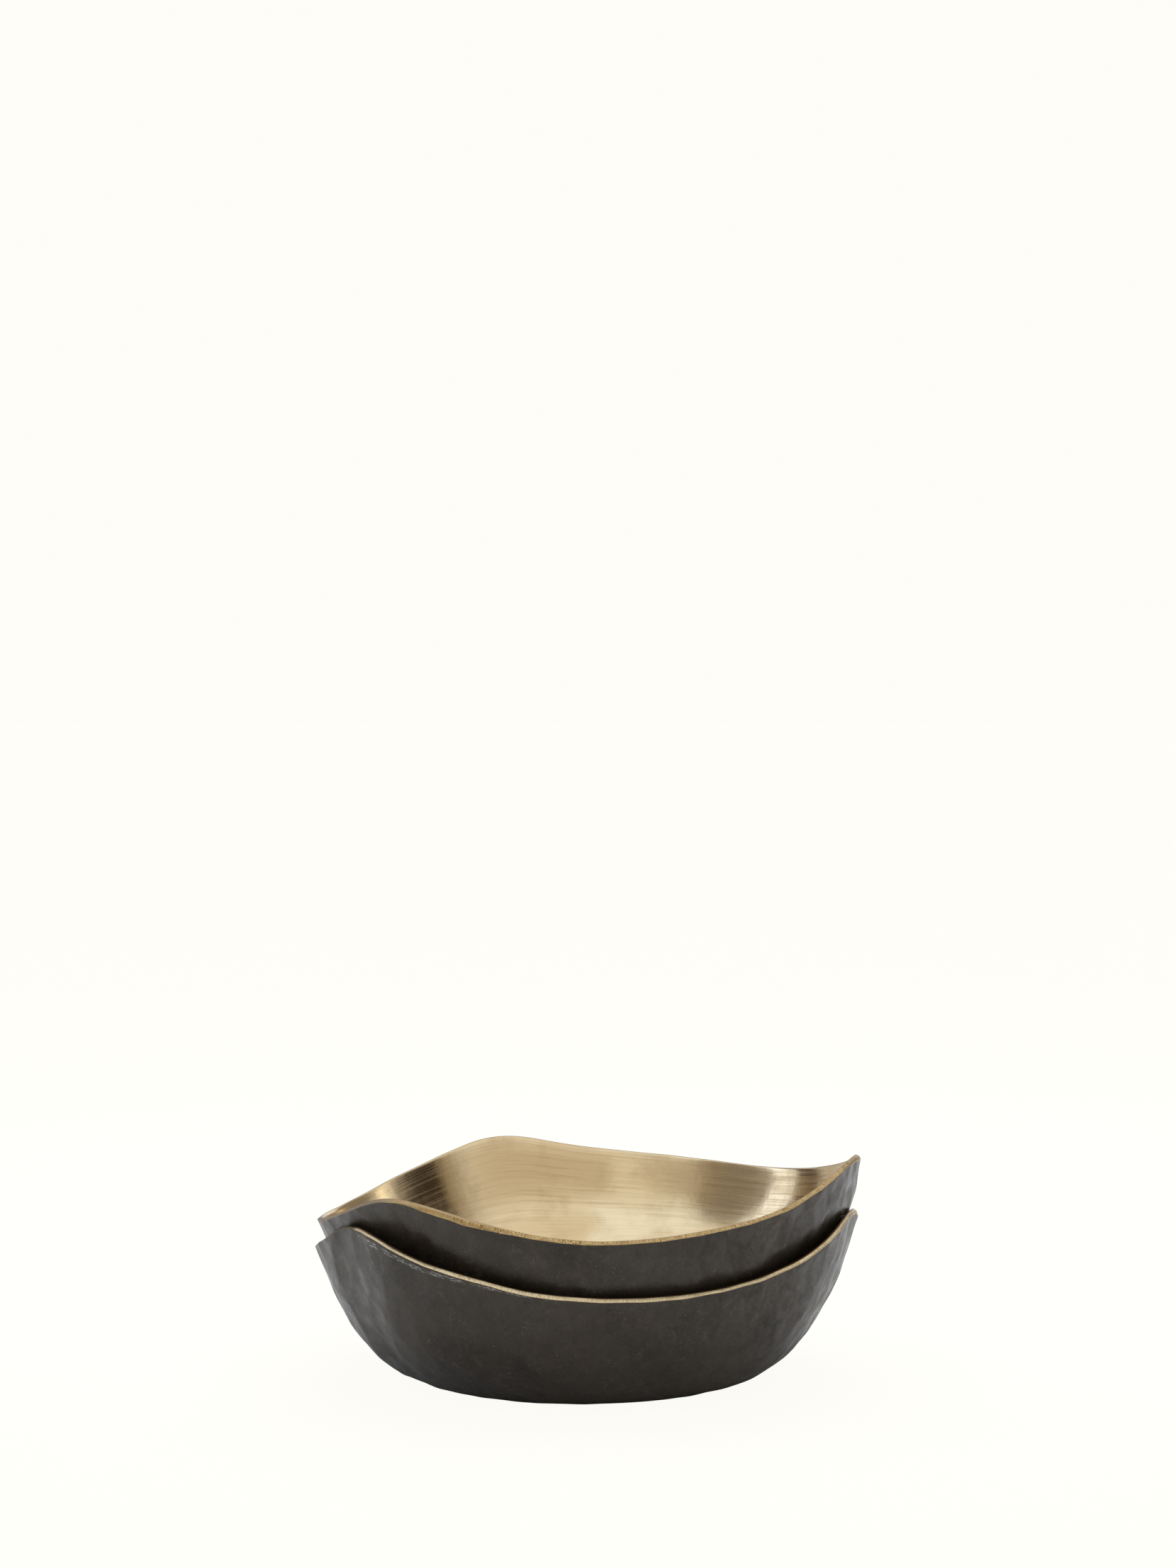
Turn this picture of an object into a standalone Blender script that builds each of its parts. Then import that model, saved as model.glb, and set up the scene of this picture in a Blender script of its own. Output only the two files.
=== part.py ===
"""Two hand-forged bronze bowls, one resting inside the other.

Each bowl is one piece of sheet: a flat round base, a wall that loops up from it, and a
rim that rises to three raised corners with dips between them.  Metres, +Z up.  The origin
is the centre of the lower bowl's flat base, on the surface that it stands on.
"""

import math
from collections import namedtuple

import bmesh
import bpy

MM = 0.001

# ---- driving dimensions -------------------------------------------------------------

WALL_THICKNESS = 1.9 * MM
RIM_EDGE_ROUND = 0.35 * MM
RIM_EDGE_SEGMENTS = 2

# Faces around the bowl and up its wall.
STEPS_AROUND = 80
STEPS_UP = 12

# A swell lifts and widens the rim around one direction, and adds to its flare in degrees.
# Angles are in degrees from +X towards +Y, and a spread is how far from its middle the
# swell fades to 61 per cent.
Swell = namedtuple("Swell", "angle outward upward flare outward_spread upward_spread")

# Corners are the three raised ones.  Dents are the small swells and hollows that hammering
# by hand left in the rim.  Belly is how far the wall runs out along the floor, and shoulder
# how far it follows the rim's flare down, both as a share of the room that there is.
BowlShape = namedtuple(
    "BowlShape",
    "base_radius rim_radius rim_height rim_offset belly shoulder flare corners dents",
)

LOWER_SHAPE = BowlShape(
    base_radius=37.2 * MM,
    rim_radius=69.7 * MM,
    rim_height=32.7 * MM,
    rim_offset=(0.1 * MM, 0.5 * MM),
    belly=0.52,
    shoulder=0.65,
    flare=26.5,
    corners=(
        Swell(221, 4.8 * MM, 11.5 * MM, -14.0, 22, 17),
        Swell(344, 5.9 * MM, 14.1 * MM, -12.5, 40, 19),
        Swell(110, 5.8 * MM, 11.1 * MM, -11.5, 28, 20),
    ),
    dents=(
        Swell(166, 0.2 * MM, -0.9 * MM, 0, 14, 14),
        Swell(191, 0.1 * MM, 1.9 * MM, 0, 10, 10),
        Swell(213, -1.4 * MM, 2.6 * MM, 0, 7, 7.7),
        Swell(236, 0.0 * MM, -0.45 * MM, 0, 6, 6),
        Swell(248, -0.1 * MM, 0.9 * MM, 0, 9, 9),
        Swell(284, -0.1 * MM, -0.6 * MM, 0, 13, 13),
        Swell(327, 1.7 * MM, -0.4 * MM, 0, 9, 9),
    ),
)

UPPER_SHAPE = BowlShape(
    base_radius=34.0 * MM,
    rim_radius=68.7 * MM,
    rim_height=30.7 * MM,
    rim_offset=(0.4 * MM, 0.2 * MM),
    belly=0.84,
    shoulder=0.30,
    flare=26.0,
    corners=(
        Swell(230, 3.7 * MM, 13.3 * MM, 0.5, 41, 23),
        Swell(344, 7.3 * MM, 10.0 * MM, -9.0, 39, 19),
        Swell(112, 6.6 * MM, 7.1 * MM, 0.5, 38, 20),
    ),
    dents=(
        Swell(41, -0.2 * MM, -2.6 * MM, 0, 17, 17),
        Swell(108, 0.0 * MM, 2.4 * MM, 0, 8, 8),
        Swell(177, 0.0 * MM, 1.2 * MM, 0, 12, 12),
        Swell(197, -0.4 * MM, 0.9 * MM, 0, 12, 12),
        Swell(228, 0.1 * MM, 1.8 * MM, 0, 9, 9),
        Swell(297, 0.1 * MM, 1.4 * MM, 0, 16, 16),
    ),
)

# Where the upper bowl's base centre sits, and how it leans: it touches nearly all round
# its belly and stands a little lower on its left side.
UPPER_SEAT = (3.3 * MM, 0.7 * MM, 14.3 * MM)
UPPER_LEAN = (math.radians(1.0), math.radians(-5.0), 0.0)

DARK_BRONZE = (0.060, 0.053, 0.045, 1.0)
LOWER_ROUGHNESS = 0.42
UPPER_ROUGHNESS = 0.46
METALLIC = 1.0

OBJECT_NAME = "nested_forged_bowls"


# ---- shape ----------------------------------------------------------------------------


def swell_share(angle, middle, spread):
    """1 at the swell's middle, fading smoothly to nothing on the far side of the bowl."""
    sharpness = 1.0 / math.radians(spread) ** 2
    return math.exp(sharpness * (math.cos(angle - math.radians(middle)) - 1.0))


def rim_radius(shape, angle):
    offset_x, offset_y = shape.rim_offset
    radius = shape.rim_radius + offset_x * math.cos(angle) + offset_y * math.sin(angle)
    for swell in shape.corners + shape.dents:
        radius += swell.outward * swell_share(angle, swell.angle, swell.outward_spread)
    return radius


def rim_height(shape, angle):
    height = shape.rim_height
    for swell in shape.corners + shape.dents:
        height += swell.upward * swell_share(angle, swell.angle, swell.upward_spread)
    return height


def rim_flare(shape, angle):
    """The wall's lean from upright at the rim, in radians; it changes at the corners."""
    flare = shape.flare
    for swell in shape.corners:
        flare += swell.flare * swell_share(angle, swell.angle, swell.outward_spread)
    return math.radians(flare)


def wall_point(shape, angle, share_up):
    """A point of the outer wall: a cubic curve that leaves the base level and meets the
    rim at the flare angle.  share_up is 0 at the base's edge and 1 at the rim."""
    radius = rim_radius(shape, angle)
    height = rim_height(shape, angle)
    shoulder_drop = shape.shoulder * height
    controls = (
        (shape.base_radius, 0.0),
        (shape.base_radius + shape.belly * (radius - shape.base_radius), 0.0),
        (radius - shoulder_drop * math.tan(rim_flare(shape, angle)), height - shoulder_drop),
        (radius, height),
    )
    weights = (
        (1.0 - share_up) ** 3,
        3.0 * share_up * (1.0 - share_up) ** 2,
        3.0 * share_up**2 * (1.0 - share_up),
        share_up**3,
    )
    out = sum(weight * control[0] for weight, control in zip(weights, controls))
    up = sum(weight * control[1] for weight, control in zip(weights, controls))
    return (out * math.cos(angle), out * math.sin(angle), up)


def bowl_surface(name, shape):
    """The bowl's outer surface, open at the rim, as a loft from the round base to the rim."""
    surface = bmesh.new()
    rings = []
    for up_step in range(STEPS_UP + 1):
        ring = []
        for around_step in range(STEPS_AROUND):
            angle = 2.0 * math.pi * around_step / STEPS_AROUND
            ring.append(surface.verts.new(wall_point(shape, angle, up_step / STEPS_UP)))
        rings.append(ring)
    surface.faces.new(list(reversed(rings[0])))
    for lower_ring, upper_ring in zip(rings, rings[1:]):
        for around_step in range(STEPS_AROUND):
            following = (around_step + 1) % STEPS_AROUND
            surface.faces.new(
                (
                    lower_ring[around_step],
                    lower_ring[following],
                    upper_ring[following],
                    upper_ring[around_step],
                )
            )
    mesh = bpy.data.meshes.new(name)
    surface.to_mesh(mesh)
    surface.free()
    mesh.shade_smooth()
    mesh.set_sharp_from_angle(angle=math.radians(35))
    return mesh


# ---- pieces ---------------------------------------------------------------------------


def bronze(name, roughness):
    material = bpy.data.materials.new(name)
    material.use_nodes = True
    shader = material.node_tree.nodes["Principled BSDF"]
    shader.inputs["Base Color"].default_value = DARK_BRONZE
    shader.inputs["Roughness"].default_value = roughness
    shader.inputs["Metallic"].default_value = METALLIC
    return material


def make_bowl(name, shape, material, collection):
    """One bowl: its outer surface given the sheet's thickness inwards, edges softened."""
    bowl = bpy.data.objects.new(name, bowl_surface(name, shape))
    collection.objects.link(bowl)
    bowl.data.materials.append(material)

    sheet = bowl.modifiers.new("sheet_thickness", "SOLIDIFY")
    sheet.thickness = WALL_THICKNESS
    sheet.offset = -1.0
    sheet.use_even_offset = True
    sheet.use_rim = True

    edge = bowl.modifiers.new("rim_edge", "BEVEL")
    edge.width = RIM_EDGE_ROUND
    edge.segments = RIM_EDGE_SEGMENTS
    edge.limit_method = "ANGLE"
    edge.angle_limit = math.radians(50)
    return bowl


def main():
    for item in list(bpy.data.objects):
        bpy.data.objects.remove(item, do_unlink=True)

    collection = bpy.data.collections.new(OBJECT_NAME)
    bpy.context.scene.collection.children.link(collection)

    make_bowl("lower_bowl", LOWER_SHAPE, bronze("lower_bronze", LOWER_ROUGHNESS), collection)

    # The upper bowl lifts straight up from this seat, so its origin is on the lift's axis.
    seat = bpy.data.objects.new("upper_bowl_seat", None)
    seat.location = UPPER_SEAT
    collection.objects.link(seat)
    upper = make_bowl("upper_bowl", UPPER_SHAPE, bronze("upper_bronze", UPPER_ROUGHNESS), collection)
    upper.parent = seat
    upper.rotation_euler = UPPER_LEAN


main()
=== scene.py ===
"""The looks of two nested hand-forged bronze bowls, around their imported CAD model.

Each bowl is made again as one fine closed mesh on the CAD solid's own dimensions, with what
the plain solid leaves out: hammer marks outside, file marks on the rim, and lathe lines
inside.  Metres, +Z up, in the CAD model's frame.
"""

import math
from collections import namedtuple

import bpy
import numpy as np
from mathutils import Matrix, Vector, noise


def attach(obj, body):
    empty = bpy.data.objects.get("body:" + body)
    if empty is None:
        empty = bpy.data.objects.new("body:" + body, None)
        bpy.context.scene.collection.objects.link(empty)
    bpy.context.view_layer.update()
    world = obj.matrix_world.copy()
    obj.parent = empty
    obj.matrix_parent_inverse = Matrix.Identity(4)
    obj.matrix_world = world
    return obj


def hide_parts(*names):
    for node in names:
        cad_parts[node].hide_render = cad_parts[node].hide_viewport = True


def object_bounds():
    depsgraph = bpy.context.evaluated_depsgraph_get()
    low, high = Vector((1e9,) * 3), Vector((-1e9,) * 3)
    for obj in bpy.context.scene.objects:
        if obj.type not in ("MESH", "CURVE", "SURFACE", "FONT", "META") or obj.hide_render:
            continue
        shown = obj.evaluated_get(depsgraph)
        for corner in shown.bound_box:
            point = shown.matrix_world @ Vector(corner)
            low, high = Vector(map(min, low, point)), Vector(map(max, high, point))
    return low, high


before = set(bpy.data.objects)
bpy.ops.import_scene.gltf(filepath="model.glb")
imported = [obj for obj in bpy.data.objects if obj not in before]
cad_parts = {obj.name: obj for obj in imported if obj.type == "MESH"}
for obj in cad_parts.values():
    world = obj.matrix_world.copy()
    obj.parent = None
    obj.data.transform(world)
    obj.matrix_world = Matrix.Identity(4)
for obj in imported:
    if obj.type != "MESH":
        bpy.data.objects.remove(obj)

cad_low, cad_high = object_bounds()

MM = 0.001

# ---- dimensions shared with the CAD model ---------------------------------------------

WALL_THICKNESS = 1.9 * MM

# A swell lifts and widens the rim around one direction, and adds to its flare in degrees.
# Angles are in degrees from +X towards +Y.
Swell = namedtuple("Swell", "angle outward upward flare outward_spread upward_spread")
BowlShape = namedtuple(
    "BowlShape",
    "base_radius rim_radius rim_height rim_offset belly shoulder flare corners dents",
)

LOWER_SHAPE = BowlShape(
    base_radius=37.2 * MM,
    rim_radius=69.7 * MM,
    rim_height=32.7 * MM,
    rim_offset=(0.1 * MM, 0.5 * MM),
    belly=0.52,
    shoulder=0.65,
    flare=26.5,
    corners=(
        Swell(221, 4.8 * MM, 11.5 * MM, -14.0, 22, 17),
        Swell(344, 5.9 * MM, 14.1 * MM, -12.5, 40, 19),
        Swell(110, 5.8 * MM, 11.1 * MM, -11.5, 28, 20),
    ),
    dents=(
        Swell(166, 0.2 * MM, -0.9 * MM, 0, 14, 14),
        Swell(191, 0.1 * MM, 1.9 * MM, 0, 10, 10),
        Swell(213, -1.4 * MM, 2.6 * MM, 0, 7, 7.7),
        Swell(236, 0.0 * MM, -0.45 * MM, 0, 6, 6),
        Swell(248, -0.1 * MM, 0.9 * MM, 0, 9, 9),
        Swell(284, -0.1 * MM, -0.6 * MM, 0, 13, 13),
        Swell(327, 1.7 * MM, -0.4 * MM, 0, 9, 9),
    ),
)

UPPER_SHAPE = BowlShape(
    base_radius=34.0 * MM,
    rim_radius=68.7 * MM,
    rim_height=30.7 * MM,
    rim_offset=(0.4 * MM, 0.2 * MM),
    belly=0.84,
    shoulder=0.30,
    flare=26.0,
    corners=(
        Swell(230, 3.7 * MM, 13.3 * MM, 0.5, 41, 23),
        Swell(344, 7.3 * MM, 10.0 * MM, -9.0, 39, 19),
        Swell(112, 6.6 * MM, 7.1 * MM, 0.5, 38, 20),
    ),
    dents=(
        Swell(41, -0.2 * MM, -2.6 * MM, 0, 17, 17),
        Swell(108, 0.0 * MM, 2.4 * MM, 0, 8, 8),
        Swell(177, 0.0 * MM, 1.2 * MM, 0, 12, 12),
        Swell(197, -0.4 * MM, 0.9 * MM, 0, 12, 12),
        Swell(228, 0.1 * MM, 1.8 * MM, 0, 9, 9),
        Swell(297, 0.1 * MM, 1.4 * MM, 0, 16, 16),
    ),
)

UPPER_SEAT = (3.3 * MM, 0.7 * MM, 14.3 * MM)
UPPER_LEAN = (math.radians(1.0), math.radians(-5.0), 0.0)

# ---- the fine mesh ----------------------------------------------------------------------

COLUMNS = 512
RIM_COLUMNS = 4 * COLUMNS
OUTER_ROW_STEP = 0.85 * MM
INNER_ROW_STEP = 1.25 * MM
# How far down the wall the rim's own rings reach.
RIM_ZONE_DEPTH = 2.4 * MM
# The flat base's rings: each ring's share of the base radius, and its number of columns.
BASE_RINGS = ((0.03, 16), (0.06, 32), (0.12, 64), (0.25, 128), (0.5, 256))
BASE_RINGS += tuple((share, COLUMNS) for share in (0.62, 0.72, 0.82, 0.91))
# The underside's slight hollow, and the waves left in the inside.
HOLLOW_SIZE = 9 * MM
HOLLOW_DEPTH = 0.12 * MM
RIPPLE_SIZE = 11 * MM
RIPPLE_DEPTH = 0.05 * MM

# How the rim was filed: the bevel's width across the wall and its drop down the outside, how
# far the edge stands above the CAD edge, and the file's marks across it.  Over a stretch the
# bevel is wider and deeper by these lengths, or narrower and shallower where they are below
# nothing, and it is rounder instead of straight.
Stretch = namedtuple("Stretch", "angle half_width edge wider deeper rounder")
Filing = namedtuple("Filing", "width drop lift stretches rib_depth wave seed")
LOWER_FILING = Filing(
    width=1.05 * MM,
    drop=0.45 * MM,
    lift=0.15 * MM,
    stretches=(
        Stretch(256, 40, 3, 0.15 * MM, 0.05 * MM, 0.0),
        Stretch(229, 10, 14, -0.28 * MM, -0.20 * MM, 0.0),
        Stretch(0, 14, 20, 0.45 * MM, 0.95 * MM, 1.0),
    ),
    rib_depth=0.030 * MM,
    wave=0.10 * MM,
    seed=5,
)
UPPER_FILING = Filing(
    width=1.62 * MM,
    drop=0.14 * MM,
    lift=0.0,
    stretches=(
        Stretch(244, 9, 12, -0.65 * MM, 0.90 * MM, 0.0),
        Stretch(354, 12, 20, 0.08 * MM, 1.00 * MM, 1.0),
    ),
    rib_depth=0.060 * MM,
    wave=0.10 * MM,
    seed=11,
)

# About how many marks the file left round a rim, and each rib's spread of sizes and strengths.
RIB_COUNT = 620
RIB_SIZES = (0.6, 1.4)
RIB_STRENGTHS = (0.2, 1.0)
# The bevel's drop down the outside stays within these.
LEAST_DROP = 0.08 * MM
GREATEST_DROP = 1.5 * MM

# Hammer marks: the size of the shallow dishes, around the bowl and up its wall, how deep the
# deepest lies, how much it curves at its edge, how wide the soft ridges between them are, and
# the depths of the clouds and grain laid over them.
Hammering = namedtuple("Hammering", "around up depth dish ridge cloud grain seed")
LOWER_HAMMERING = Hammering(
    around=7.0 * MM,
    up=9.5 * MM,
    depth=0.24 * MM,
    dish=0.42 * MM,
    ridge=0.03 * MM,
    cloud=0.12 * MM,
    grain=0.05 * MM,
    seed=21,
)
UPPER_HAMMERING = LOWER_HAMMERING._replace(seed=33)
CLOUD_SIZE = 14 * MM
GRAIN_SIZE = 3.5 * MM
# The ridges stand up to this far above the dishes' own level, and are flat beyond it.
RIDGE_HEIGHT = 0.10 * MM
# How much stronger the marks are on the bowls' left and right sides.
SIDE_BLOWS = 0.7
# The marks fade out over this share of the wall above the base.
BASE_FADE = 0.30
# How far a blow strays from its even place, as a share of the spacing.
STRAY = 0.45

OUTSIDE, RIM, INSIDE = 0, 1, 2

# One ring of the mesh: its points, the zone that the strip before it belongs to, how far
# along the profile it is, how far below the rim's edge, and how much the file has cut it.
Ring = namedtuple("Ring", "points zone along below filed")
# What a ring nowhere near the rim has for its distance below it.
FAR_BELOW = 1.0


def swell_share(angles, middle, spread):
    return np.exp((np.cos(angles - math.radians(middle)) - 1.0) / math.radians(spread) ** 2)


def rim_line(shape, angles):
    """The rim's radius, height and flare from upright, around the bowl."""
    radius = shape.rim_radius + shape.rim_offset[0] * np.cos(angles)
    radius = radius + shape.rim_offset[1] * np.sin(angles)
    height = np.full_like(angles, shape.rim_height)
    flare = np.full_like(angles, shape.flare)
    for swell in shape.corners + shape.dents:
        radius = radius + swell.outward * swell_share(angles, swell.angle, swell.outward_spread)
        height = height + swell.upward * swell_share(angles, swell.angle, swell.upward_spread)
    for swell in shape.corners:
        flare = flare + swell.flare * swell_share(angles, swell.angle, swell.outward_spread)
    return radius, height, np.radians(flare)


def wall_points(shape, angles, shares):
    """Points of the outer wall; a share is 0 at the base's edge and 1 at the rim."""
    radius, height, flare = rim_line(shape, angles)
    drop = shape.shoulder * height
    controls = (
        (shape.base_radius, 0.0),
        (shape.base_radius + shape.belly * (radius - shape.base_radius), 0.0),
        (radius - drop * np.tan(flare), height - drop),
        (radius, height),
    )
    rest = 1.0 - shares
    weights = (rest**3, 3.0 * shares * rest**2, 3.0 * shares**2 * rest, shares**3)
    out = sum(weight * control[0] for weight, control in zip(weights, controls))
    up = sum(weight * control[1] for weight, control in zip(weights, controls))
    return np.stack([out * np.cos(angles), out * np.sin(angles), up], axis=-1)


def rim_zone_share(shape):
    """The share of the wall that lies below the rim's zone."""
    # The wall's cubic curve leaves the rim at three times its last control's distance.
    rim_speed = 3.0 * shape.shoulder * shape.rim_height / math.cos(math.radians(shape.flare))
    return 1.0 - RIM_ZONE_DEPTH / rim_speed


def unit(vectors):
    return vectors / np.maximum(np.linalg.norm(vectors, axis=-1, keepdims=True), 1e-12)


def wall_directions(shape, angles, shares):
    """The wall's outward normal, and its direction up the profile, at each point."""
    small = 1e-4
    along = wall_points(shape, angles + small, shares) - wall_points(shape, angles - small, shares)
    upward = wall_points(shape, angles, shares + small) - wall_points(shape, angles, shares - small)
    normal = unit(np.cross(along, upward))
    return normal, unit(np.cross(normal, unit(along)))


def ring_angles(columns):
    return 2.0 * math.pi * np.arange(columns) / columns


def smooth_noise(points, scale, seed):
    """Perlin noise at each point, about -1 to 1."""
    shift = Vector((seed * 3.17, seed * 1.31, seed * 7.73))
    return np.array([noise.noise(Vector(point) / scale + shift) for point in points])


def noise_share(points, scale, seed):
    """The same noise as a share from 0 to 1."""
    return np.clip(0.5 + 0.5 * smooth_noise(points, scale, seed), 0.0, 1.0)


# ---- hammer marks -----------------------------------------------------------------------


def wall_length(shape):
    """About how long the outer wall is, from the base's edge to the rim."""
    return 1.35 * (shape.rim_radius - shape.base_radius + 0.4 * shape.rim_height)


def hammer_blows(shape, hammering):
    """Where the hammer fell on the wall, in rows: the angle, the share up the wall, and how
    much less deep than the others each blow is."""
    random = np.random.default_rng(hammering.seed)
    rows = round(wall_length(shape) / hammering.up)
    blows = []
    for row in range(rows + 1):
        share = (row + 0.2) / rows
        radius = shape.base_radius + share * (shape.rim_radius - shape.base_radius)
        count = round(2.0 * math.pi * radius / hammering.around)
        angles = 2.0 * math.pi * (np.arange(count) + random.uniform()) / count
        angles += random.uniform(-STRAY, STRAY, count) * 2.0 * math.pi / count
        shares = share + random.uniform(-STRAY, STRAY, count) / rows
        offsets = random.uniform(0.0, 0.6, count) * hammering.depth
        blows.append(np.stack([angles, shares, offsets], axis=-1))
    return np.concatenate(blows)


def hammer_depth(shape, hammering, blows, angles, share):
    """How far the hammer pushed the wall in: shallow dishes that meet in soft ridges."""
    points = wall_points(shape, angles, np.full(len(angles), share))
    radius = np.linalg.norm(points[:, :2], axis=1)
    apart = (angles[:, None] - blows[None, :, 0] + math.pi) % (2.0 * math.pi) - math.pi
    around = apart * radius[:, None] / hammering.around
    up = (share - blows[None, :, 1]) * wall_length(shape) / hammering.up
    heights = hammering.dish * (around**2 + up**2) + blows[None, :, 2]
    lowest = heights.min(axis=1)
    blend = np.exp(-(heights - lowest[:, None]) / hammering.ridge).sum(axis=1)
    heights = lowest - hammering.ridge * np.log(blend)
    cloud = noise_share(points, CLOUD_SIZE, hammering.seed)
    grain = noise_share(points, GRAIN_SIZE, hammering.seed + 1)
    depth = np.clip(hammering.depth - heights, -RIDGE_HEIGHT, None) + RIDGE_HEIGHT
    depth = depth * (1.0 + SIDE_BLOWS * np.abs(np.cos(angles)) ** 3)
    return depth + hammering.cloud * cloud + hammering.grain * grain


# ---- rings ------------------------------------------------------------------------------


def flat_ring(radius, columns, height):
    """A circle of points round the bowl's axis."""
    angles = ring_angles(columns)
    return np.stack(
        [radius * np.cos(angles), radius * np.sin(angles), np.full(columns, height)], axis=-1
    )


def base_rings(shape, hammering):
    """The underside, from near its middle to its edge: flat, with a slight uneven hollow."""
    rings = []
    for share, columns in BASE_RINGS:
        radius = share * shape.base_radius
        points = flat_ring(radius, columns, 0.0)
        hollow = noise_share(points, HOLLOW_SIZE, hammering.seed)
        points[:, 2] += HOLLOW_DEPTH * hollow * (1.0 - share**4)
        rings.append(Ring(points, OUTSIDE, radius, FAR_BELOW, 0.0))
    return rings


def outer_rings(shape, hammering, blows):
    """The hammered outside, from the base's edge to just below the rim."""
    rings = []
    angles = ring_angles(COLUMNS)
    length = wall_length(shape)
    edge = wall_points(shape, angles, np.ones(COLUMNS))
    for share in np.linspace(0.0, rim_zone_share(shape), round(length / OUTER_ROW_STEP)):
        shares = np.full(COLUMNS, share)
        points = wall_points(shape, angles, shares)
        normal = wall_directions(shape, angles, shares)[0]
        depth = hammer_depth(shape, hammering, blows, angles, share) * min(share / BASE_FADE, 1.0)
        along = shape.base_radius + share * length
        below = np.linalg.norm(edge - points, axis=1)
        rings.append(Ring(points - normal * depth[:, None], OUTSIDE, along, below, 0.0))
    return rings, rings[-1].along


def bevel_section(filing, angles):
    """The filed bevel's width, drop and roundness, and the edge's unevenness, all round."""
    circle = np.stack([np.cos(angles), np.sin(angles), np.zeros_like(angles)], axis=-1)
    ragged = 0.6 * smooth_noise(circle, 0.05, filing.seed)
    ragged = 1.0 + 0.3 * (ragged + smooth_noise(circle, 0.35, filing.seed + 1))
    width = np.full_like(angles, filing.width)
    drop = np.full_like(angles, filing.drop)
    roundness = np.zeros_like(angles)
    for stretch in filing.stretches:
        apart = np.abs((np.degrees(angles) - stretch.angle + 180.0) % 360.0 - 180.0)
        share = np.clip((stretch.half_width + stretch.edge / 2.0 - apart) / stretch.edge, 0.0, 1.0)
        share = share * share * (3.0 - 2.0 * share)
        width += stretch.wider * share
        drop += stretch.deeper * share
        roundness += stretch.rounder * share
    wave = filing.lift + filing.wave * smooth_noise(circle, 0.13, filing.seed + 2)
    return width, np.clip(drop * ragged, LEAST_DROP, GREATEST_DROP), roundness, wave


def rib_marks(angles, filing):
    """The file's marks: uneven ribs a little under a millimetre apart."""
    random = np.random.default_rng(filing.seed)
    steps = random.uniform(*RIB_SIZES, RIB_COUNT)
    places = np.cumsum(steps) / steps.sum() * 2.0 * math.pi
    strengths = random.uniform(*RIB_STRENGTHS, RIB_COUNT)
    after = np.searchsorted(places, angles)
    start = np.where(after > 0, places[after - 1], 0.0)
    share = (angles - start) / (places[after] - start)
    return -strengths[after] * np.sin(math.pi * share) ** 2


def rim_rings(shape, hammering, filing, blows, along):
    """The filed rim, from the outer wall over the edge to the inner wall."""
    rings = []
    steps = (2 * COLUMNS,) + (RIM_COLUMNS,) * 10 + (2 * COLUMNS,)
    wall = WALL_THICKNESS
    for index, columns in enumerate(steps):
        angles = ring_angles(columns)
        edge = wall_points(shape, angles, np.ones(columns))
        normal, upward = wall_directions(shape, angles, np.ones(columns))
        width, drop, roundness, wave = bevel_section(filing, angles)
        # Each place on the section: how far inwards, how far up, its zone, how much the file
        # has cut it, and its ribs.
        sections = (
            (0.0 * MM, -drop - 0.60 * MM, OUTSIDE, 0.0, 0.0),
            (0.0 * MM, -drop - 0.08 * MM, OUTSIDE, 0.0, 0.3),
            (0.05 * MM, -(1.0 - 0.25 * roundness) * drop + 0.03 * MM, RIM, 1.0, 0.8),
            (0.33 * width, -(0.62 - 0.36 * roundness) * drop, RIM, 1.0, 1.0),
            (0.66 * width, -(0.30 - 0.24 * roundness) * drop, RIM, 1.0, 1.0),
            (width - 0.08 * MM, -0.06 * MM, RIM, 1.0, 1.0),
            (width + 0.08 * MM, -0.02 * MM, RIM, 0.0, 0.6),
            (0.5 * (width + wall), 0.0 * MM, RIM, 0.0, 0.3),
            (wall - 0.18 * MM, -0.03 * MM, RIM, 0.0, 0.2),
            (wall - 0.04 * MM, -0.16 * MM, RIM, 0.0, 0.1),
            (wall, -0.40 * MM, INSIDE, 0.0, 0.0),
            (wall, -1.10 * MM, INSIDE, 0.0, 0.0),
        )
        inward, up, zone, filed, ribs = sections[index]
        inward = np.broadcast_to(inward, angles.shape)
        ribbing = filing.rib_depth * ribs * rib_marks(angles, filing)
        dented = hammer_depth(shape, hammering, blows, angles, 1.0) * (1.0 - inward / wall)
        points = edge - normal * (inward + dented - 0.8 * ribbing)[:, None]
        points = points + upward * (up + wave + 0.6 * ribbing)[:, None]
        rings.append(Ring(points, zone, along + index * 0.4 * MM, -up, filed))
    return rings


def inner_rings(shape, seed):
    """The smooth inside, from just below the rim down to the floor's middle."""
    rings = []
    angles = ring_angles(COLUMNS)
    length = wall_length(shape)
    for share in np.linspace(rim_zone_share(shape), 0.0, round(length / INNER_ROW_STEP)):
        shares = np.full(COLUMNS, share)
        points = wall_points(shape, angles, shares)
        normal = wall_directions(shape, angles, shares)[0]
        ripple = RIPPLE_DEPTH * smooth_noise(points, RIPPLE_SIZE, seed) * min(share / 0.1, 1.0)
        points = points - normal * (WALL_THICKNESS + ripple)[:, None]
        along = shape.base_radius + share * length
        rings.append(Ring(points, INSIDE, along, (1.0 - share) * length, 0.0))
    for share, columns in reversed(BASE_RINGS):
        radius = share * shape.base_radius
        points = flat_ring(radius, columns, WALL_THICKNESS)
        rings.append(Ring(points, INSIDE, radius, length, 0.0))
    return rings


# ---- mesh -------------------------------------------------------------------------------


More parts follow.
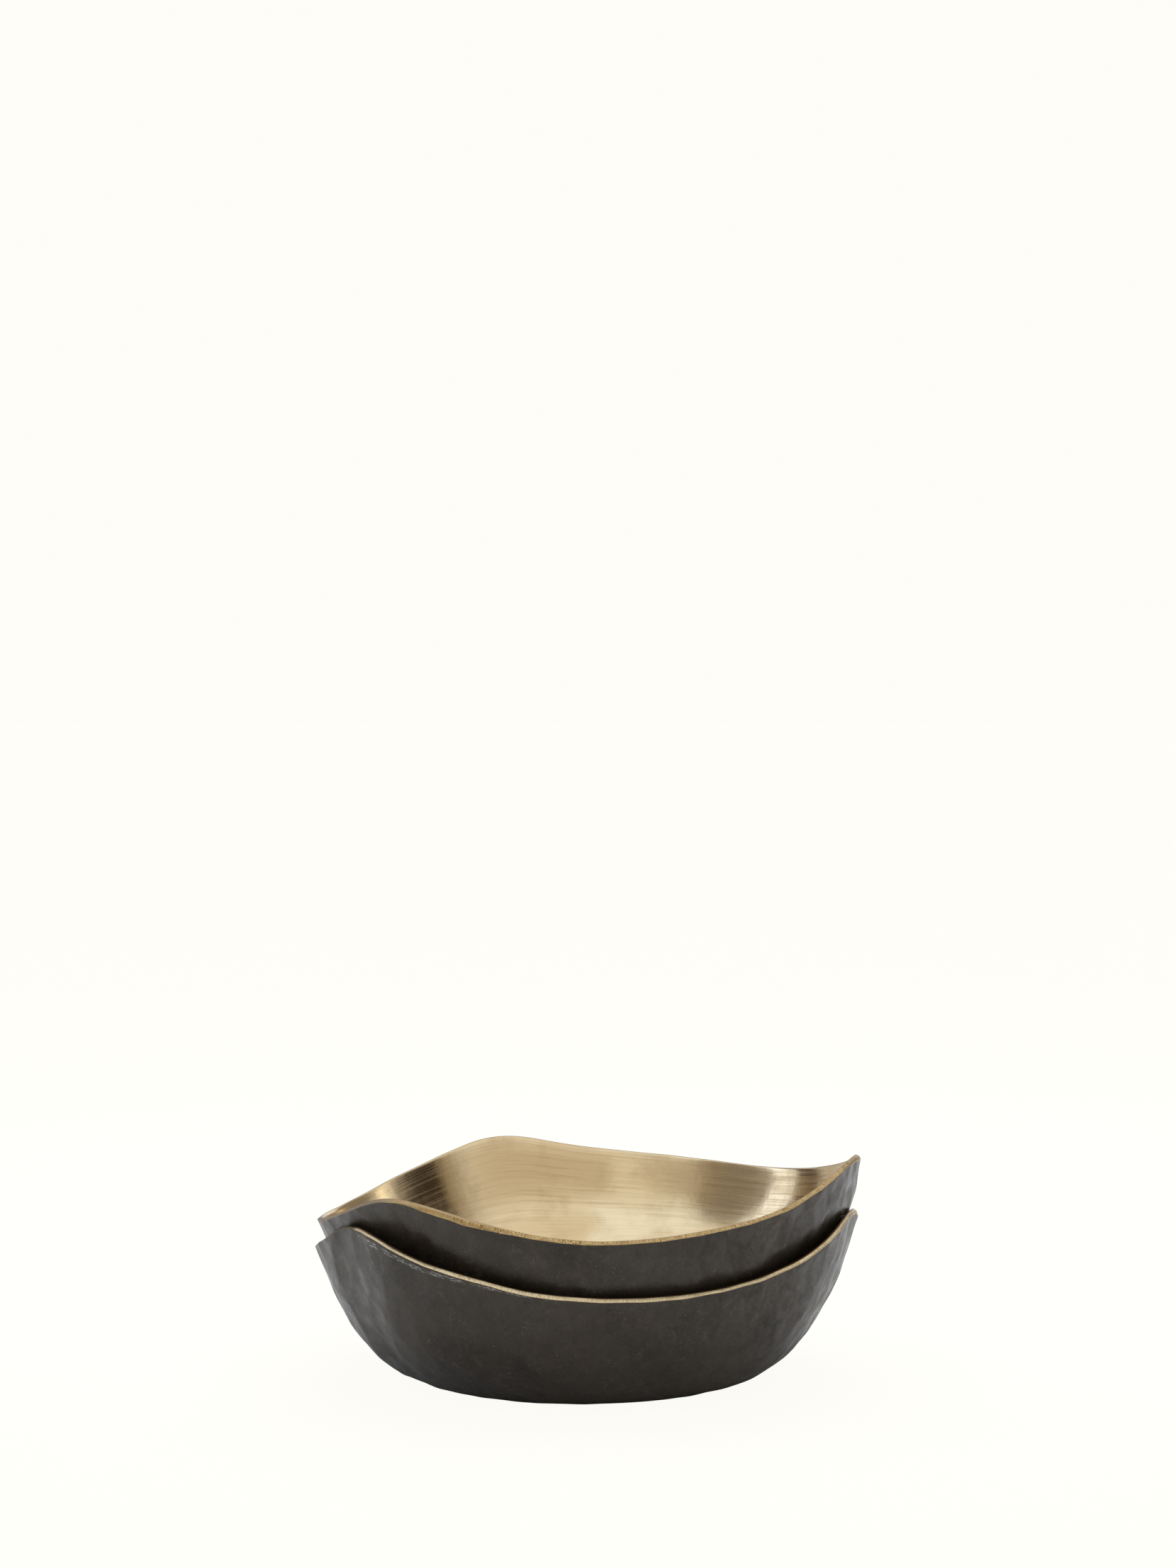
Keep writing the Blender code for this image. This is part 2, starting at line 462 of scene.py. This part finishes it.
def strip_faces(first, first_count, second, second_count):
    """Faces between two rings of the same size, or of which one has twice the other's."""
    faces = []
    count = min(first_count, second_count)
    for step in range(count):
        following = (step + 1) % count
        if first_count == second_count:
            faces.append((first + step, first + following, second + following, second + step))
        elif second_count > first_count:
            middle = second + 2 * step + 1
            after = second + (2 * step + 2) % second_count
            faces.append((first + step, middle, second + 2 * step))
            faces.append((first + step, first + following, middle))
            faces.append((first + following, after, middle))
        else:
            middle = first + 2 * step + 1
            after = first + (2 * step + 2) % first_count
            faces.append((first + 2 * step, middle, second + step))
            faces.append((middle, second + following, second + step))
            faces.append((middle, after, second + following))
    return faces


def mesh_from_rings(name, rings):
    """One closed mesh: the rings in order, closed at both ends by a fan, with the zone as
    the material index and the profile's measures as attributes for the materials."""
    low_middle = rings[0].points.mean(axis=0)
    high_middle = rings[-1].points.mean(axis=0)
    points = np.concatenate([low_middle[None]] + [r.points for r in rings] + [high_middle[None]])
    measures = [(0.0, FAR_BELOW, 0.0)]
    faces = []
    zones = []
    start = 1
    count = len(rings[0].points)
    for step in range(count):
        faces.append((0, start + (step + 1) % count, start + step))
        zones.append(rings[0].zone)
    for ring, following in zip(rings, rings[1:] + [None]):
        count = len(ring.points)
        below = np.broadcast_to(ring.below, count)
        measures.extend((ring.along, depth, ring.filed) for depth in below.tolist())
        if following is None:
            last = start + count
            for step in range(count):
                faces.append((start + step, start + (step + 1) % count, last))
                zones.append(ring.zone)
        else:
            strip = strip_faces(start, count, start + count, len(following.points))
            faces.extend(strip)
            zones.extend([following.zone] * len(strip))
        start += count
    measures.append((0.0, FAR_BELOW, 0.0))
    mesh = bpy.data.meshes.new(name)
    mesh.from_pydata(points.tolist(), [], faces)
    mesh.polygons.foreach_set("material_index", zones)
    for label, values in zip(("along_profile", "below_rim", "filed"), zip(*measures)):
        attribute = mesh.attributes.new(label, "FLOAT", "POINT")
        attribute.data.foreach_set("value", values)
    mesh.shade_smooth()
    mesh.validate()
    return mesh


def make_bowl(name, shape, hammering, filing, materials):
    blows = hammer_blows(shape, hammering)
    rings = base_rings(shape, hammering)
    outside, along = outer_rings(shape, hammering, blows)
    rings += outside
    rings += rim_rings(shape, hammering, filing, blows, along)
    rings += inner_rings(shape, hammering.seed)
    bowl = bpy.data.objects.new(name, mesh_from_rings(name, rings))
    bpy.context.scene.collection.objects.link(bowl)
    for material in materials:
        bowl.data.materials.append(material)
    return bowl


# ---- materials --------------------------------------------------------------------------

# About how far out the rims are, which turns an angle into a length round the bowl.
RIM_REACH = 72 * MM


class Nodes:
    """Short ways to add the nodes of one node tree; sizes of textures are in metres."""

    def __init__(self, tree):
        self.tree = tree

    def add(self, kind, inputs, **settings):
        made = self.tree.nodes.new(kind)
        for name, value in settings.items():
            setattr(made, name, value)
        for key, value in inputs.items():
            if isinstance(value, bpy.types.NodeSocket):
                self.tree.links.new(value, made.inputs[key])
            else:
                made.inputs[key].default_value = value
        return made

    def math(self, operation, *values):
        return self.add("ShaderNodeMath", dict(enumerate(values)), operation=operation).outputs[0]

    def spread(self, value, low, high, to_low=0.0, to_high=1.0):
        """A value's share of the way from low to high, eased at both ends."""
        inputs = {"Value": value, "From Min": low, "From Max": high, "To Min": to_low, "To Max": to_high}
        return self.add("ShaderNodeMapRange", inputs, interpolation_type="SMOOTHSTEP").outputs[0]

    def noise(self, vector, size, detail=3.0, roughness=0.5, distortion=0.0):
        inputs = {"Vector": vector, "Scale": 1.0 / size, "Detail": detail}
        inputs.update({"Roughness": roughness, "Distortion": distortion})
        return self.add("ShaderNodeTexNoise", inputs).outputs["Fac"]

    def lines(self, vector, size, width, detail=2.0, distortion=0.0):
        """Thin curling lines: where a noise passes through its middle value."""
        value = self.noise(vector, size, detail, 0.5, distortion)
        off_middle = self.math("ABSOLUTE", self.math("SUBTRACT", value, 0.5))
        return self.spread(off_middle, 0.0, width, 1.0, 0.0)

    def blend(self, share, first, second):
        """A mix of two colours."""
        first = (*first, 1.0) if isinstance(first, tuple) else first
        second = (*second, 1.0) if isinstance(second, tuple) else second
        inputs = {0: share, 6: first, 7: second}
        return self.add("ShaderNodeMix", inputs, data_type="RGBA").outputs[2]

    def stretch(self, vector, scale, turn=(0.0, 0.0, 0.0)):
        inputs = {"Vector": vector, "Scale": scale, "Rotation": turn}
        return self.add("ShaderNodeMapping", inputs).outputs[0]

    def measure(self, name):
        return self.add("ShaderNodeAttribute", {}, attribute_name=name).outputs["Fac"]

    def total(self, *values):
        result = values[0]
        for value in values[1:]:
            result = self.math("ADD", result, value)
        return result


def new_material(name):
    material = bpy.data.materials.new(name)
    material.use_nodes = True
    shader = material.node_tree.nodes["Principled BSDF"]
    nodes = Nodes(material.node_tree)
    place = nodes.add("ShaderNodeTexCoord", {}).outputs["Object"]
    return material, nodes, shader, place


def finish_material(nodes, shader, colour, roughness, relief, metallic=None):
    """Joins the textures to the shader; the relief is in millimetres."""
    nodes.tree.links.new(colour, shader.inputs["Base Color"])
    nodes.tree.links.new(roughness, shader.inputs["Roughness"])
    if metallic is not None:
        nodes.tree.links.new(metallic, shader.inputs["Metallic"])
    bump = nodes.add("ShaderNodeBump", {"Height": relief, "Distance": MM, "Strength": 1.0})
    nodes.tree.links.new(bump.outputs[0], shader.inputs["Normal"])


# Colours of the dark scale that the forge leaves, and of what shows through it.
SCALE_DARK = (0.0185, 0.0135, 0.0090)
SCALE_LIGHT = (0.036, 0.0285, 0.0205)
SCALE_BLUE = (0.040, 0.0385, 0.0385)
SCALE_SHEEN = (1.0, 0.955, 0.89, 1.0)
SCALE_SMEAR = (0.078, 0.070, 0.055)
SCALE_PIT = (0.008, 0.006, 0.004)
SCALE_FLECK = (0.15, 0.140, 0.115)
RUST = (0.068, 0.040, 0.022)
BARE_BRONZE = (0.50, 0.40, 0.25)
SCUFF = (0.62, 0.60, 0.56)

# A scuff: a broken band of bare metal that runs round the bowl, between two angles in
# degrees, from one depth below the rim to another.
Scuff = namedtuple("Scuff", "first_turn last_turn first_below last_below half_width")
LOWER_SCUFFS = (
    Scuff(216, 268, 1.45 * MM, 0.95 * MM, 0.38 * MM),
    Scuff(219, 252, 2.25 * MM, 1.55 * MM, 0.42 * MM),
)
# Over how many degrees a scuff comes in, and dies out.
SCUFF_START = 4.0
SCUFF_END = 18.0


def scuff_share(nodes, place, scuffs):
    """Where the scuffs have bared the metal."""
    parts = nodes.add("ShaderNodeSeparateXYZ", {"Vector": place}).outputs
    turn = nodes.math("DEGREES", nodes.math("ARCTAN2", parts[1], parts[0]))
    turn = nodes.math("WRAP", turn, 360.0, 0.0)
    # A length round the bowl, from an angle in degrees.
    run = nodes.math("MULTIPLY", turn, math.radians(RIM_REACH))
    below = nodes.measure("below_rim")
    flat_place = nodes.add("ShaderNodeCombineXYZ", {0: run, 1: below}).outputs[0]
    broken = nodes.noise(nodes.stretch(flat_place, (0.20, 1.0, 1.0)), 0.25 * MM, 4.0, 0.75, 0.2)
    runs = nodes.spread(nodes.noise(flat_place, 3.5 * MM, 2.0), 0.34, 0.56)
    wander = nodes.spread(nodes.noise(place, 4 * MM, 2.0), 0.3, 0.7, -0.2 * MM, 0.2 * MM)
    below = nodes.math("ADD", below, wander)
    result = 0.0
    for scuff in scuffs:
        way = nodes.spread(turn, scuff.first_turn, scuff.last_turn, 0.0, 1.0)
        middle = nodes.math("MULTIPLY_ADD", way, scuff.last_below - scuff.first_below, scuff.first_below)
        off = nodes.math("ABSOLUTE", nodes.math("SUBTRACT", below, middle))
        band = nodes.spread(off, 0.3 * scuff.half_width, scuff.half_width, 1.0, 0.0)
        start = nodes.spread(turn, scuff.first_turn, scuff.first_turn + SCUFF_START)
        end = nodes.spread(turn, scuff.last_turn - SCUFF_END, scuff.last_turn, 1.0, 0.0)
        inside = nodes.math("MULTIPLY", nodes.math("MULTIPLY", start, end), band)
        result = nodes.math("MAXIMUM", result, inside)
    threads = nodes.math("MULTIPLY", nodes.spread(broken, 0.48, 0.60), runs)
    return nodes.math("MULTIPLY", result, threads)


def dark_scale(name, seed, scuffs):
    """The forged outside: dark scale with clouds, rust, flecks and scratches of bare metal."""
    material, nodes, shader, first_place = new_material(name)
    place = nodes.add("ShaderNodeVectorMath", {0: first_place, 1: (seed, seed, seed)}).outputs[0]
    clouds = nodes.noise(place, 26 * MM, 4.0, 0.55)
    mottle = nodes.noise(place, 5.5 * MM, 6.0, 0.62, 0.4)
    grain = nodes.noise(place, 0.9 * MM, 4.0, 0.6)

    colour = nodes.blend(nodes.spread(clouds, 0.36, 0.66), SCALE_DARK, SCALE_LIGHT)
    blue = nodes.math("MULTIPLY", nodes.spread(mottle, 0.54, 0.76), 0.45)
    colour = nodes.blend(blue, colour, SCALE_BLUE)
    grit = nodes.math("MULTIPLY", nodes.spread(grain, 0.35, 0.30), 0.6)
    colour = nodes.blend(grit, colour, SCALE_DARK)
    tall_place = nodes.stretch(place, (1.0, 1.0, 0.55))
    sheen = nodes.spread(nodes.noise(tall_place, 2.8 * MM, 5.0, 0.64, 0.6), 0.36, 0.64, -1.0, 1.0)
    smears = nodes.spread(nodes.noise(place, 2.2 * MM, 5.0, 0.7, 0.9), 0.53, 0.66)
    smears = nodes.math("MULTIPLY", smears, nodes.spread(nodes.noise(place, 12 * MM), 0.40, 0.62))
    colour = nodes.blend(nodes.math("MULTIPLY", smears, 0.65), colour, SCALE_SMEAR)
    pits = nodes.math("MULTIPLY", nodes.spread(nodes.noise(place, 1.1 * MM, 3.0, 0.6), 0.62, 0.72), 0.7)
    colour = nodes.blend(pits, colour, SCALE_PIT)
    flecks = nodes.spread(nodes.noise(place, 0.55 * MM, 3.0, 0.65), 0.61, 0.72)
    flecks = nodes.math("MULTIPLY", flecks, nodes.spread(nodes.noise(place, 8 * MM), 0.38, 0.56))
    colour = nodes.blend(nodes.math("MULTIPLY", flecks, 0.65), colour, SCALE_FLECK)

    rust_place = nodes.noise(place, 11 * MM, 2.0)
    rust_spots = nodes.noise(place, 2.4 * MM, 5.0, 0.7)
    rust = nodes.math(
        "MULTIPLY", nodes.spread(rust_spots, 0.48, 0.66), nodes.spread(rust_place, 0.50, 0.64)
    )
    colour = nodes.blend(nodes.math("MULTIPLY", rust, 0.55), colour, RUST)

    # Curling scratches and straight hairlines, each broken into short runs by a noise.
    curls = nodes.lines(place, 1.6 * MM, 0.014, 1.0, 1.2)
    curls = nodes.math("MULTIPLY", curls, nodes.spread(nodes.noise(place, 1.0 * MM), 0.61, 0.69))
    bare = nodes.math("MULTIPLY", curls, nodes.spread(nodes.noise(place, 15 * MM, 2.0), 0.50, 0.62))
    bare = nodes.math("MULTIPLY", bare, 0.55)
    for turn, size in ((0.6, 5 * MM), (-0.9, 7 * MM)):
        stretched = nodes.stretch(place, (1.0, 1.0, 0.15), (turn, turn * 0.4, turn))
        hairs = nodes.lines(stretched, size, 0.003, 0.0)
        runs = nodes.spread(nodes.noise(place, 3.5 * MM, 2.0), 0.60, 0.67)
        hairs = nodes.math("MULTIPLY", nodes.math("MULTIPLY", hairs, runs), 0.22)
        bare = nodes.math("MAXIMUM", bare, hairs)
    bare = nodes.math("MULTIPLY", bare, 0.75)
    colour = nodes.blend(bare, colour, BARE_BRONZE)
    if scuffs:
        scuffed = scuff_share(nodes, first_place, scuffs)
        colour = nodes.blend(nodes.math("MULTIPLY", scuffed, 0.9), colour, SCUFF)

    roughness = nodes.spread(mottle, 0.30, 0.70, 0.27, 0.45)
    relief = nodes.total(
        nodes.math("MULTIPLY", mottle, 0.12),
        nodes.math("MULTIPLY", grain, 0.030),
        nodes.math("MULTIPLY", smears, 0.010),
        nodes.math("MULTIPLY", bare, -0.02),
    )
    finish_material(nodes, shader, colour, roughness, relief, bare)
    # The sheen varies from patch to patch, most on the right side.
    parts = nodes.add("ShaderNodeSeparateXYZ", {"Vector": first_place}).outputs
    amount = nodes.spread(parts[0], 10 * MM, 60 * MM, 0.05, 0.16)
    shine = nodes.math("MULTIPLY_ADD", sheen, amount, 0.5)
    nodes.tree.links.new(shine, shader.inputs["Specular IOR Level"])
    shader.inputs["Specular Tint"].default_value = SCALE_SHEEN
    return material


# A filed rim's bright metal, the grooves in it, how dark they are, its narrow lip, and the
# dull stretch that was never filed: its colour, its middle, half its width and how wide its
# edge is, in degrees.
Filed = namedtuple("Filed", "bright groove depth lip dull dull_turn dull_half dull_edge")
LOWER_FILED = Filed(
    bright=(0.86, 0.70, 0.44),
    groove=(0.44, 0.29, 0.12),
    depth=0.65,
    # The lower lip's colour is painted shade: dark brown for the shadow in the gap under the upper bowl.
    lip=(0.20, 0.12, 0.055),
    dull=(0.10, 0.065, 0.038),
    dull_turn=191,
    dull_half=26,
    dull_edge=2,
)
UPPER_FILED = Filed(
    bright=(0.64, 0.45, 0.205),
    groove=(0.22, 0.12, 0.04),
    depth=1.0,
    lip=(0.50, 0.36, 0.19),
    dull=(0.28, 0.215, 0.145),
    dull_turn=200,
    dull_half=29,
    dull_edge=18,
)


def filed_bronze(name, filed):
    """The rim: bright bronze with the file's marks across it."""
    material, nodes, shader, place = new_material(name)
    parts = nodes.add("ShaderNodeSeparateXYZ", {"Vector": place}).outputs
    turn = nodes.math("ARCTAN2", parts[1], parts[0])
    run = nodes.math("MULTIPLY", turn, RIM_REACH)
    across = nodes.math("MULTIPLY", nodes.measure("along_profile"), 0.20)
    file_place = nodes.add("ShaderNodeCombineXYZ", {0: run, 1: across}).outputs[0]
    marks = nodes.noise(file_place, 0.26 * MM, 2.0, 0.6, 0.4)
    groups = nodes.noise(file_place, 1.6 * MM, 2.0, 0.6)
    patches = nodes.noise(place, 6 * MM, 3.0, 0.6)
    cut = nodes.measure("filed")
    grouped = nodes.spread(groups, 0.3, 0.6, 1.0, 0.5)
    dark = nodes.math("MULTIPLY", nodes.spread(marks, 0.56, 0.40), grouped)
    aside = nodes.math("SUBTRACT", nodes.math("DEGREES", turn), filed.dull_turn)
    off = nodes.math("ABSOLUTE", nodes.math("WRAP", aside, 180.0, -180.0))
    # The marks come in over 20 degrees beside the stretch that was never filed.
    full = filed.dull_half + 20.0
    depth = nodes.spread(off, filed.dull_half, full, 0.2 * filed.depth, filed.depth)
    dark = nodes.math("MULTIPLY", dark, depth)
    colour = nodes.blend(dark, filed.bright, filed.groove)
    worn = nodes.math("MULTIPLY", nodes.spread(patches, 0.52, 0.70), 0.30)
    colour = nodes.blend(worn, colour, filed.groove)
    # Where the file didn't cut, the lip's colour, which on the lower bowl is painted gap shade.
    colour = nodes.blend(cut, filed.lip, colour)
    edge = filed.dull_edge / 2.0
    dull = nodes.spread(off, filed.dull_half - edge, filed.dull_half + edge, 0.9, 0.0)
    colour = nodes.blend(dull, colour, filed.dull)
    roughness = nodes.spread(marks, 0.3, 0.7, 0.50, 0.32)
    relief = nodes.math("MULTIPLY", marks, nodes.math("MULTIPLY", cut, 0.05))
    finish_material(nodes, shader, colour, roughness, relief)
    shader.inputs["Metallic"].default_value = 1.0
    return material


POLISHED = (0.85, 0.665, 0.395)
STREAK = (0.42, 0.28, 0.14)


def polished_bronze(name):
    """The turned inside: bright bronze with the lathe's lines round it."""
    material, nodes, shader, place = new_material(name)
    along = nodes.measure("along_profile")
    parts = nodes.add("ShaderNodeSeparateXYZ", {"Vector": place}).outputs

    def turned(round_size, across_size, detail):
        """A noise drawn out round the bowl."""
        inputs = {
            0: nodes.math("DIVIDE", parts[0], round_size),
            1: nodes.math("DIVIDE", parts[1], round_size),
            2: nodes.math("DIVIDE", along, across_size),
        }
        vector = nodes.add("ShaderNodeCombineXYZ", inputs).outputs[0]
        return nodes.noise(vector, 1.0, detail, 0.6)

    broad = turned(60 * MM, 3.4 * MM, 3.0)
    lines = turned(45 * MM, 1.2 * MM, 2.0)
    fine = turned(20 * MM, 0.30 * MM, 2.0)
    clouds = nodes.noise(place, 14 * MM, 4.0, 0.6)
    dark = nodes.math("MULTIPLY", nodes.spread(lines, 0.51, 0.68), nodes.spread(broad, 0.42, 0.58))
    # The lines are plainest on the upper wall.
    depth = nodes.spread(nodes.measure("below_rim"), 14 * MM, 34 * MM, 1.0, 0.3)
    dark = nodes.math("MULTIPLY", dark, depth)
    dark = nodes.total(
        nodes.math("MULTIPLY", dark, 0.40),
        nodes.math("MULTIPLY", nodes.spread(fine, 0.5, 0.75), 0.20),
        nodes.math("MULTIPLY", nodes.spread(clouds, 0.46, 0.72), 0.28),
    )
    colour = nodes.blend(dark, POLISHED, STREAK)
    roughness = nodes.total(
        nodes.spread(lines, 0.3, 0.7, 0.14, 0.26),
        nodes.math("MULTIPLY", nodes.spread(clouds, 0.4, 0.7), 0.08),
    )
    relief = nodes.total(
        nodes.math("MULTIPLY", lines, 0.007),
        nodes.math("MULTIPLY", fine, 0.0020),
        nodes.math("MULTIPLY", broad, 0.030),
        nodes.math("MULTIPLY", clouds, 0.10),
    )
    finish_material(nodes, shader, colour, roughness, relief)
    shader.inputs["Metallic"].default_value = 1.0
    # The lines spread a reflection across themselves, up and down the wall.
    tangent = nodes.add("ShaderNodeTangent", {}, direction_type="RADIAL", axis="Z").outputs[0]
    nodes.tree.links.new(tangent, shader.inputs["Tangent"])
    shader.inputs["Anisotropic"].default_value = 0.6
    shader.inputs["Anisotropic Rotation"].default_value = 0.25
    return material


# ---- stage ------------------------------------------------------------------------------

PAPER = (0.991, 0.982, 0.939)
FLOOR_HALF_SIZE = 6.0
FLOOR_GAP = 0.02 * MM
FLOOR_GREY = (0.82, 0.815, 0.80)
# The floor glows for the camera only, so that it stays pale and keeps a faint shadow.
FLOOR_GLOW = 1.03
FLOOR_GLOW_SHARE = 0.94


def make_floor():
    size = FLOOR_HALF_SIZE
    mesh = bpy.data.meshes.new("floor")
    corners = [(-size, -size, 0), (size, -size, 0), (size, size, 0), (-size, size, 0)]
    mesh.from_pydata(corners, [], [(0, 1, 2, 3)])
    floor = bpy.data.objects.new("floor", mesh)
    floor.location.z = cad_low[2] - FLOOR_GAP
    bpy.context.scene.collection.objects.link(floor)
    material = bpy.data.materials.new("pale_floor")
    material.use_nodes = True
    nodes = Nodes(material.node_tree)
    output = material.node_tree.nodes["Material Output"]
    paper = nodes.add("ShaderNodeBsdfDiffuse", {"Color": (*FLOOR_GREY, 1.0)}).outputs[0]
    glow_inputs = {"Color": (*PAPER, 1.0), "Strength": FLOOR_GLOW}
    glow = nodes.add("ShaderNodeEmission", glow_inputs).outputs[0]
    camera = nodes.add("ShaderNodeLightPath", {}).outputs["Is Camera Ray"]
    share = nodes.math("MULTIPLY", camera, FLOOR_GLOW_SHARE)
    surface = nodes.add("ShaderNodeMixShader", {0: share, 1: paper, 2: glow}).outputs[0]
    material.node_tree.links.new(surface, output.inputs["Surface"])
    floor.data.materials.append(material)


# The studio: soft cards around the bowls, as directions in degrees.  A turn of 0 is towards
# the camera's side, -Y, and 90 is +X.  Each card covers those before it.
Card = namedtuple("Card", "turn half_width rise half_height edge colour")
ROOM = (0.86, 0.89, 0.94)
CARDS = (
    Card(-45, 40, 62, 22, 14, (0.98, 1.08, 1.22)),
    Card(0, 42, 10, 26, 12, (0.58, 0.53, 0.46)),
    Card(-28, 12, 34, 10, 12, (0.84, 0.86, 0.88)),
    Card(15, 30, 68, 14, 12, (0.78, 0.76, 0.72)),
    Card(-57, 17, 16, 14, 10, (0.50, 0.47, 0.43)),
    Card(-72, 12, 20, 16, 10, (0.26, 0.225, 0.185)),
    Card(-83, 13, 18, 26, 7, (0.24, 0.225, 0.215)),
    Card(-120, 9, 14, 24, 5, (0.07, 0.06, 0.06)),
    Card(-103, 6, 25, 14, 4, (1.60, 1.85, 2.40)),
    Card(-150, 18, 6, 16, 8, (0.48, 0.48, 0.48)),
    Card(70, 22, 22, 24, 24, (0.30, 0.26, 0.20)),
    Card(79, 16, 22, 24, 8, (0.035, 0.025, 0.020)),
    Card(131, 20, 14, 20, 4, (0.24, 0.22, 0.20)),
    Card(106, 3, 25, 12, 4, (1.60, 1.55, 1.40)),
)


def make_world():
    world = bpy.data.worlds.new("studio")
    bpy.context.scene.world = world
    world.use_nodes = True
    nodes = Nodes(world.node_tree)
    direction = nodes.add("ShaderNodeTexCoord", {}).outputs["Generated"]
    parts = nodes.add("ShaderNodeSeparateXYZ", {"Vector": direction}).outputs
    toward = nodes.math("MULTIPLY", parts[1], -1.0)
    turn = nodes.math("DEGREES", nodes.math("ARCTAN2", parts[0], toward))
    rise = nodes.math("DEGREES", nodes.math("ARCSINE", parts[2]))
    lit = ROOM
    for card in CARDS:
        aside = nodes.math("WRAP", nodes.math("SUBTRACT", turn, card.turn), 180.0, -180.0)
        above = nodes.math("SUBTRACT", rise, card.rise)
        shares = [
            nodes.spread(
                nodes.math("ABSOLUTE", off), half - card.edge / 2, half + card.edge / 2, 1.0, 0.0
            )
            for off, half in ((aside, card.half_width), (above, card.half_height))
        ]
        lit = nodes.blend(nodes.math("MULTIPLY", *shares), lit, card.colour)
    camera = nodes.add("ShaderNodeLightPath", {}).outputs["Is Camera Ray"]
    colour = nodes.blend(camera, lit, PAPER)
    background = world.node_tree.nodes["Background"]
    world.node_tree.links.new(colour, background.inputs["Color"])
    bpy.context.scene.view_settings.view_transform = "Standard"


LAMP_POWER = 1.8
LAMP_SIZE = 0.5
LAMP_PLACE = (0.05, 0.22, 0.50)


def make_lamp():
    """A soft lamp over the floor behind the bowls' left side."""
    data = bpy.data.lights.new("soft_lamp", "AREA")
    data.energy = LAMP_POWER
    data.size = LAMP_SIZE
    lamp = bpy.data.objects.new("soft_lamp", data)
    lamp.location = LAMP_PLACE
    lamp.visible_glossy = False
    bpy.context.scene.collection.objects.link(lamp)


CAMERA_DISTANCE = 1.013
CAMERA_ELEVATION = math.radians(11.65)
CAMERA_PITCH = math.radians(2.62)
CAMERA_ASIDE = 2.3 * MM
CAMERA_LENS = 85.0


def make_camera():
    data = bpy.data.cameras.new("camera")
    data.lens = CAMERA_LENS
    data.sensor_width = 36.0
    camera = bpy.data.objects.new("camera", data)
    camera.location = (
        CAMERA_ASIDE,
        -CAMERA_DISTANCE * math.cos(CAMERA_ELEVATION),
        CAMERA_DISTANCE * math.sin(CAMERA_ELEVATION),
    )
    camera.rotation_euler = (math.pi / 2.0 - CAMERA_PITCH, 0.0, 0.0)
    data.clip_start = 0.01
    bpy.context.scene.collection.objects.link(camera)
    bpy.context.scene.camera = camera


make_camera()
make_floor()
make_world()
make_lamp()

lower = make_bowl(
    "lower_forged_bowl",
    LOWER_SHAPE,
    LOWER_HAMMERING,
    LOWER_FILING,
    (
        dark_scale("lower_dark_scale", 0.31, LOWER_SCUFFS),
        filed_bronze("lower_filed_rim", LOWER_FILED),
        polished_bronze("lower_polished_inside"),
    ),
)
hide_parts("lower_bowl")
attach(lower, "lower")

upper = make_bowl(
    "upper_forged_bowl",
    UPPER_SHAPE,
    UPPER_HAMMERING,
    UPPER_FILING,
    (
        dark_scale("upper_dark_scale", 1.73, ()),
        filed_bronze("upper_filed_rim", UPPER_FILED),
        polished_bronze("upper_polished_inside"),
    ),
)
upper.location = UPPER_SEAT
upper.rotation_euler = UPPER_LEAN
bpy.context.view_layer.update()
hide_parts("upper_bowl")
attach(upper, "upper")
